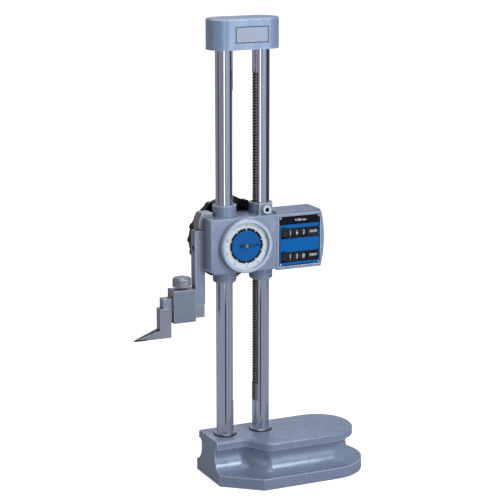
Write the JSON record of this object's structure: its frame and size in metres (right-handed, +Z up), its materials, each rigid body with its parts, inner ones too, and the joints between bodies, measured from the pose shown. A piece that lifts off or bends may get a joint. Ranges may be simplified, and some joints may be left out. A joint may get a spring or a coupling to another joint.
{
  "type": "double-column height gauge",
  "caption": "Double-column height gauge with a dial, two digit counters, a rear handwheel, a clamped scriber and a round-ended base with a finger groove.",
  "frame": {"origin": "ground underside of the base, midway between the axes of the two columns", "axes": "+Z up along the columns, +X along the long side of the base towards its round end, -Y towards the side the dial faces"},
  "size_m": [0.2552, 0.095, 0.49],
  "materials": {
    "casting": "satin enamel",
    "column": "hard chromed and ground",
    "steel": "ground",
    "scriber": "ground",
    "carbide": "ground",
    "bracket": "as cast, painted",
    "fastener": "turned",
    "black_screw": "blackened",
    "bronze": "turned",
    "felt": "matt",
    "plastic": "moulded",
    "knob": "turned",
    "bezel": "satin",
    "dial": "printed",
    "pointer": "matt",
    "gear": "cut",
    "crystal": "clear",
    "lens": "clear",
    "fascia": "printed",
    "digits": "moulded, white figures",
    "button": "moulded"
  },
  "bodies": {
    "stand": {"base": "casting", "column_left": "column", "column_right": "column", "column_bolts": "black_screw", "foot_rings": "fastener", "head": "casting", "head_set_screws": "black_screw"},
    "slider": {"slider_body": "casting", "slide_bushes": "bronze", "column_wipers": "felt", "front_cover": "casting", "counter_housing": "casting", "housing_screws": "fastener", "counter_fascia": "fascia", "window_masks": "plastic", "window_lenses": "lens", "counter_frame": "steel", "counter_axles": "steel", "jaw": "steel", "jaw_screw": "black_screw", "jaw_bracket": "bracket", "bracket_screws": "black_screw", "clamp_frame": "steel", "pressure_pad": "bronze", "lock_shoe": "bronze", "feed_bearing": "bronze"},
    "handwheel": {"feed_shaft": "steel", "handwheel": "plastic", "handwheel_cap": "plastic"},
    "measuring_shaft": {"measuring_pinion": "gear"},
    "idler": {"train_idler": "gear"},
    "pointer": {"pointer_arbor": "gear", "pointer": "pointer"},
    "bezel": {"bezel": "bezel", "dial_face": "dial", "dial_crystal": "crystal"},
    "upper_hundreds": {"upper_hundreds_wheel": "digits"},
    "upper_tens": {"upper_tens_wheel": "digits"},
    "upper_units": {"upper_units_wheel": "digits"},
    "lower_hundreds": {"lower_hundreds_wheel": "digits"},
    "lower_tens": {"lower_tens_wheel": "digits"},
    "lower_units": {"lower_units_wheel": "digits"},
    "upper_reset": {"upper_reset_button": "button"},
    "lower_reset": {"lower_reset_button": "button"},
    "slider_lock": {"lock_screw": "fastener"},
    "clamp_screw": {"clamp_screw": "knob"},
    "scriber": {"scriber": "scriber", "scriber_tip": "carbide"}
  },
  "joints": [
    {"name": "slider_travel", "type": "slide", "parent": "stand", "child": "slider", "axis": [0, 0, 1], "range_m": [-0.1618, 0.1482]},
    {"name": "handwheel_turn", "type": "hinge", "parent": "slider", "child": "handwheel", "pos_m": [-0.00612, 0, 0.256], "axis": [0, 1, 0], "continuous": true},
    {"name": "measuring_turn", "type": "hinge", "parent": "slider", "child": "measuring_shaft", "pos_m": [0.00612, 0, 0.272], "axis": [0, 1, 0], "continuous": true},
    {"name": "idler_turn", "type": "hinge", "parent": "slider", "child": "idler", "pos_m": [0.00353, 0, 0.26013], "axis": [0, 1, 0], "continuous": true},
    {"name": "pointer_turn", "type": "hinge", "parent": "slider", "child": "pointer", "pos_m": [-0.00612, 0, 0.256], "axis": [0, 1, 0], "continuous": true},
    {"name": "bezel_turn", "type": "hinge", "parent": "slider", "child": "bezel", "pos_m": [-0.00612, 0, 0.256], "axis": [0, 1, 0], "continuous": true},
    {"name": "upper_hundreds_turn", "type": "hinge", "parent": "slider", "child": "upper_hundreds", "pos_m": [0.0553, -0.0105, 0.2638], "axis": [1, 0, 0], "continuous": true},
    {"name": "upper_tens_turn", "type": "hinge", "parent": "slider", "child": "upper_tens", "pos_m": [0.0553, -0.0105, 0.2638], "axis": [1, 0, 0], "continuous": true},
    {"name": "upper_units_turn", "type": "hinge", "parent": "slider", "child": "upper_units", "pos_m": [0.0553, -0.0105, 0.2638], "axis": [1, 0, 0], "continuous": true},
    {"name": "lower_hundreds_turn", "type": "hinge", "parent": "slider", "child": "lower_hundreds", "pos_m": [0.0553, -0.0105, 0.2383], "axis": [1, 0, 0], "continuous": true},
    {"name": "lower_tens_turn", "type": "hinge", "parent": "slider", "child": "lower_tens", "pos_m": [0.0553, -0.0105, 0.2383], "axis": [1, 0, 0], "continuous": true},
    {"name": "lower_units_turn", "type": "hinge", "parent": "slider", "child": "lower_units", "pos_m": [0.0553, -0.0105, 0.2383], "axis": [1, 0, 0], "continuous": true},
    {"name": "upper_reset_press", "type": "slide", "parent": "slider", "child": "upper_reset", "axis": [0, 1, 0], "range_m": [0, 0.002], "stiffness_N_per_m": 300, "springref_m": -0.0005},
    {"name": "lower_reset_press", "type": "slide", "parent": "slider", "child": "lower_reset", "axis": [0, 1, 0], "range_m": [0, 0.002], "stiffness_N_per_m": 300, "springref_m": -0.0005},
    {"name": "slider_lock_turn", "type": "hinge", "parent": "slider", "child": "slider_lock", "pos_m": [0.0209, 0, 0.2906], "axis": [0, -1, 0], "range_deg": [0, 180]},
    {"name": "clamp_screw_turn", "type": "hinge", "parent": "slider", "child": "clamp_screw", "pos_m": [-0.06965, 0, 0.2188], "axis": [0, 0, 1], "range_deg": [0, 540]},
    {"name": "scriber_slide", "type": "slide", "parent": "slider", "child": "scriber", "axis": [-1, 0, 0], "range_m": [-0.0015, 0.011]}
  ],
  "couplings": [
    {"joint": "handwheel_turn", "follows": "slider_travel", "rad_per_m": -130.9},
    {"joint": "measuring_turn", "follows": "slider_travel", "rad_per_m": 130.9},
    {"joint": "idler_turn", "follows": "slider_travel", "rad_per_m": -1047.2},
    {"joint": "pointer_turn", "follows": "slider_travel", "rad_per_m": 6283.2},
    {"joint": "upper_hundreds_turn", "follows": "slider_travel", "rad_per_m": 6.2832},
    {"joint": "upper_tens_turn", "follows": "slider_travel", "rad_per_m": 62.832},
    {"joint": "upper_units_turn", "follows": "slider_travel", "rad_per_m": 628.32},
    {"joint": "lower_hundreds_turn", "follows": "slider_travel", "rad_per_m": -6.2832},
    {"joint": "lower_tens_turn", "follows": "slider_travel", "rad_per_m": -62.832},
    {"joint": "lower_units_turn", "follows": "slider_travel", "rad_per_m": -628.32}
  ]
}
